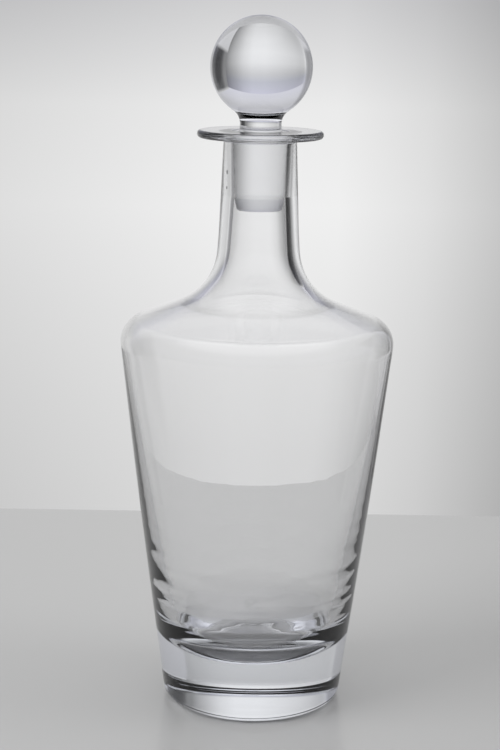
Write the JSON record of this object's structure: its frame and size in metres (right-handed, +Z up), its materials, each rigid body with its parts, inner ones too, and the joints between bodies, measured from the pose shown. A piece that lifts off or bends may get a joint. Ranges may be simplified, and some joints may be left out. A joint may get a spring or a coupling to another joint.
{
  "type": "whisky decanter",
  "caption": "Clear glass whisky decanter: inverted-taper body with a thick base, long neck with a flat disc rim, and a lift-out solid ball stopper with a ground plug.",
  "frame": {"origin": "centre of the flat underside, on the decanter's axis", "axes": "+Z up along the axis, from the underside through the neck to the ball stopper; the part is round about it, so +X and +Y are free"},
  "size_m": [0.1132, 0.1132, 0.2875],
  "materials": {
    "body_glass": "clear fire-polished glass with a faint cool grey tint; the underside is ground and polished flat, and the neck's socket is finely ground",
    "stopper_glass": "clear polished glass ball and waist, with a frosted ground plug"
  },
  "bodies": {
    "decanter": {"decanter_body": "body_glass"},
    "stopper": {"stopper": "stopper_glass"}
  },
  "joints": [
    {"name": "stopper_lift", "type": "slide", "parent": "decanter", "child": "stopper", "axis": [0, 0, 1], "range_m": [0, 0.05]}
  ]
}
